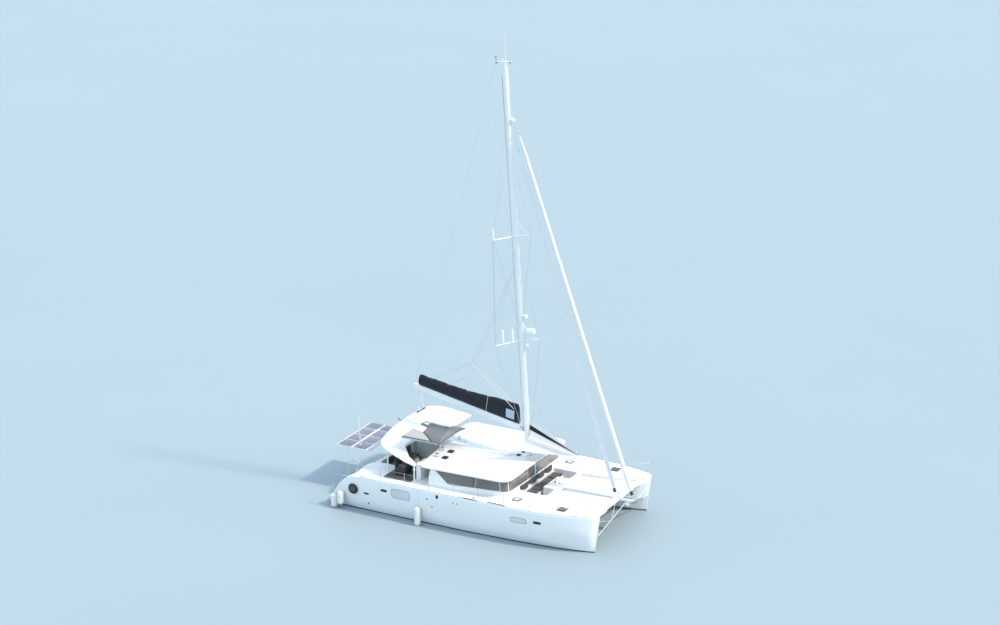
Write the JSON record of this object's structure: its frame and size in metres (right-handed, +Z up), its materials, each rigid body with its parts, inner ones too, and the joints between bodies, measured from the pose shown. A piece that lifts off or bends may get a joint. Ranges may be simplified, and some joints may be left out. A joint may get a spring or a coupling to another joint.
{
  "type": "sailing catamaran",
  "caption": "Cruising sailing catamaran with two decked hulls, a hollow cabin, an aft cockpit under a hardtop, furled sails, rudders, propellers and a swinging boom.",
  "frame": {"origin": "on the waterline amidships, on the centreline between the hulls", "axes": "+X forward towards the bows, +Y to port, +Z up"},
  "size_m": [15.16, 8.0496, 23.9291],
  "materials": {
    "gelcoat": "glossy white gelcoat",
    "antifouling": "matt dark blue bottom paint",
    "alloy": "white painted aluminium",
    "bare_alloy": "anodised",
    "steel": "polished stainless steel",
    "bronze": "propeller bronze",
    "engine_paint": "grey engine paint",
    "tinted_glass": "dark tinted glazing",
    "dark_acrylic": "dark acrylic hatch",
    "sail_cover": "black navy acrylic canvas",
    "grey_canvas": "grey acrylic canvas",
    "white_canvas": "white canvas with a navy stripe",
    "sailcloth": "white sailcloth",
    "netting": "pale woven net",
    "cushion": "dark cushion cloth",
    "white_plastic": "smooth white plastic",
    "fender_vinyl": "soft white vinyl",
    "dark_plastic": "dark moulded plastic",
    "solar_cells": "blue violet cells under glass"
  },
  "bodies": {
    "boat": {"hull_starboard": "gelcoat", "hull_port": "gelcoat", "keel_starboard": "antifouling", "keel_port": "antifouling", "saildrive_starboard": "engine_paint", "saildrive_port": "engine_paint", "engine_starboard": "engine_paint", "engine_port": "engine_paint", "bridgedeck": "gelcoat", "cabin_walls": "gelcoat", "window_front": "tinted_glass", "window_starboard": "tinted_glass", "window_port": "tinted_glass", "cabin_roof": "gelcoat", "door_sill": "bare_alloy", "hardtop": "gelcoat", "cockpit_settee": "cushion", "helm_console": "gelcoat", "helm_seat": "gelcoat", "canopy_frame": "steel", "helm_canopy": "grey_canvas", "crossbeam_frame": "alloy", "trampoline_starboard": "netting", "trampoline_port": "netting", "windlass": "steel", "anchor": "steel", "guardrail_starboard": "steel", "guardrail_port": "steel", "davits": "steel", "solar_panel": "solar_cells", "stern_antenna": "white_plastic", "mast": "alloy", "mast_step": "steel", "spreaders_lower": "alloy", "spreaders_upper": "alloy", "masthead_crane": "alloy", "radar_dome": "white_plastic", "cap_shroud_starboard": "steel", "cap_shroud_port": "steel", "headsail_inner": "sailcloth", "headsail_outer": "sailcloth", "gooseneck": "steel", "awning": "white_canvas", "fender_midship": "fender_vinyl", "fender_quarter_fore": "fender_vinyl", "fender_quarter_aft": "fender_vinyl", "lifebuoy": "dark_plastic"},
    "rudder_starboard": {"rudder_starboard": "antifouling"},
    "rudder_port": {"rudder_port": "antifouling"},
    "wheel": {"steering_wheel": "dark_plastic"},
    "propeller_starboard": {"propeller_starboard": "bronze"},
    "propeller_port": {"propeller_port": "bronze"},
    "boom": {"boom": "alloy", "sail_bag": "sail_cover"},
    "engine_lid_starboard": {"engine_lid_starboard": "gelcoat"},
    "engine_lid_port": {"engine_lid_port": "gelcoat"},
    "locker_lid_starboard": {"locker_lid_starboard": "dark_acrylic"},
    "locker_lid_port": {"locker_lid_port": "dark_acrylic"},
    "saloon_door": {"saloon_door": "tinted_glass"}
  },
  "joints": [
    {"name": "rudder_starboard_turn", "type": "hinge", "parent": "boat", "child": "rudder_starboard", "pos_m": [-6.05, -2.88, -0.33], "axis": [0, 0, 1], "range_deg": [-35, 35]},
    {"name": "rudder_port_turn", "type": "hinge", "parent": "boat", "child": "rudder_port", "pos_m": [-6.05, 2.88, -0.33], "axis": [0, 0, 1], "range_deg": [-35, 35]},
    {"name": "wheel_turn", "type": "hinge", "parent": "boat", "child": "wheel", "pos_m": [-2.8, -2.42, 2.48], "axis": [1, 0, 0], "range_deg": [-350, 350]},
    {"name": "propeller_starboard_spin", "type": "hinge", "parent": "boat", "child": "propeller_starboard", "pos_m": [-4.8, -2.88, -0.98], "axis": [1, 0, 0], "continuous": true},
    {"name": "propeller_port_spin", "type": "hinge", "parent": "boat", "child": "propeller_port", "pos_m": [-4.8, 2.88, -0.98], "axis": [1, 0, 0], "continuous": true},
    {"name": "boom_swing", "type": "hinge", "parent": "boat", "child": "boom", "pos_m": [1.585, 0, 4.166], "axis": [0, 0, 1], "range_deg": [-50, 79]},
    {"name": "engine_lid_starboard_lift", "type": "hinge", "parent": "boat", "child": "engine_lid_starboard", "pos_m": [-4.388, -2.88, 1.75], "axis": [0, 1, 0], "range_deg": [0, 80]},
    {"name": "engine_lid_port_lift", "type": "hinge", "parent": "boat", "child": "engine_lid_port", "pos_m": [-4.388, 2.88, 1.75], "axis": [0, 1, 0], "range_deg": [0, 80]},
    {"name": "locker_lid_starboard_lift", "type": "hinge", "parent": "boat", "child": "locker_lid_starboard", "pos_m": [4.666, -2.88, 1.778], "axis": [0, -1, 0], "range_deg": [0, 100]},
    {"name": "locker_lid_port_lift", "type": "hinge", "parent": "boat", "child": "locker_lid_port", "pos_m": [4.666, 2.88, 1.778], "axis": [0, -1, 0], "range_deg": [0, 100]},
    {"name": "saloon_door_slide", "type": "slide", "parent": "boat", "child": "saloon_door", "axis": [0, 1, 0], "range_m": [0, 0.86]}
  ],
  "couplings": [
    {"joint": "rudder_port_turn", "follows": "rudder_starboard_turn", "ratio": 1},
    {"joint": "wheel_turn", "follows": "rudder_starboard_turn", "ratio": 10}
  ]
}
